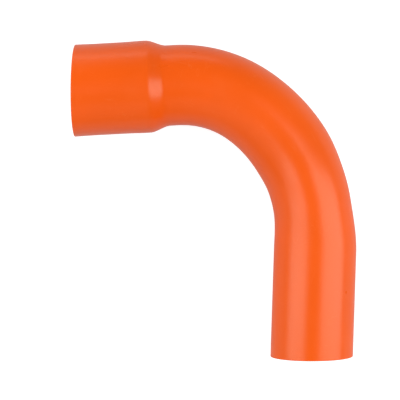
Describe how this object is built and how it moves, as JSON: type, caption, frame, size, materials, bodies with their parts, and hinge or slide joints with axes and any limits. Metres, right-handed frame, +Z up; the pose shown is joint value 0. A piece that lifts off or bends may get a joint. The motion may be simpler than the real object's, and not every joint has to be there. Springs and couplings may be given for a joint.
{
  "type": "pvc conduit elbow",
  "caption": "Orange rigid PVC conduit elbow: a smooth round bend with a belled socket at one end and a plain spigot at the other, joining conduits at a corner.",
  "frame": {"origin": "centre of the socket's mouth, on the centreline", "axes": "the elbow lies flat, +Z up; the centreline leaves the mouth along +X, stays in the plane z = 0 and turns 95 degrees clockwise towards -Y; -X points out of the socket"},
  "size_m": [0.1675, 0.1982, 0.0554],
  "materials": {
    "orange_pvc": "satin, extruded and hot bent"
  },
  "bodies": {
    "root": {"socket": "orange_pvc", "bend": "orange_pvc", "spigot": "orange_pvc"}
  },
  "joints": []
}
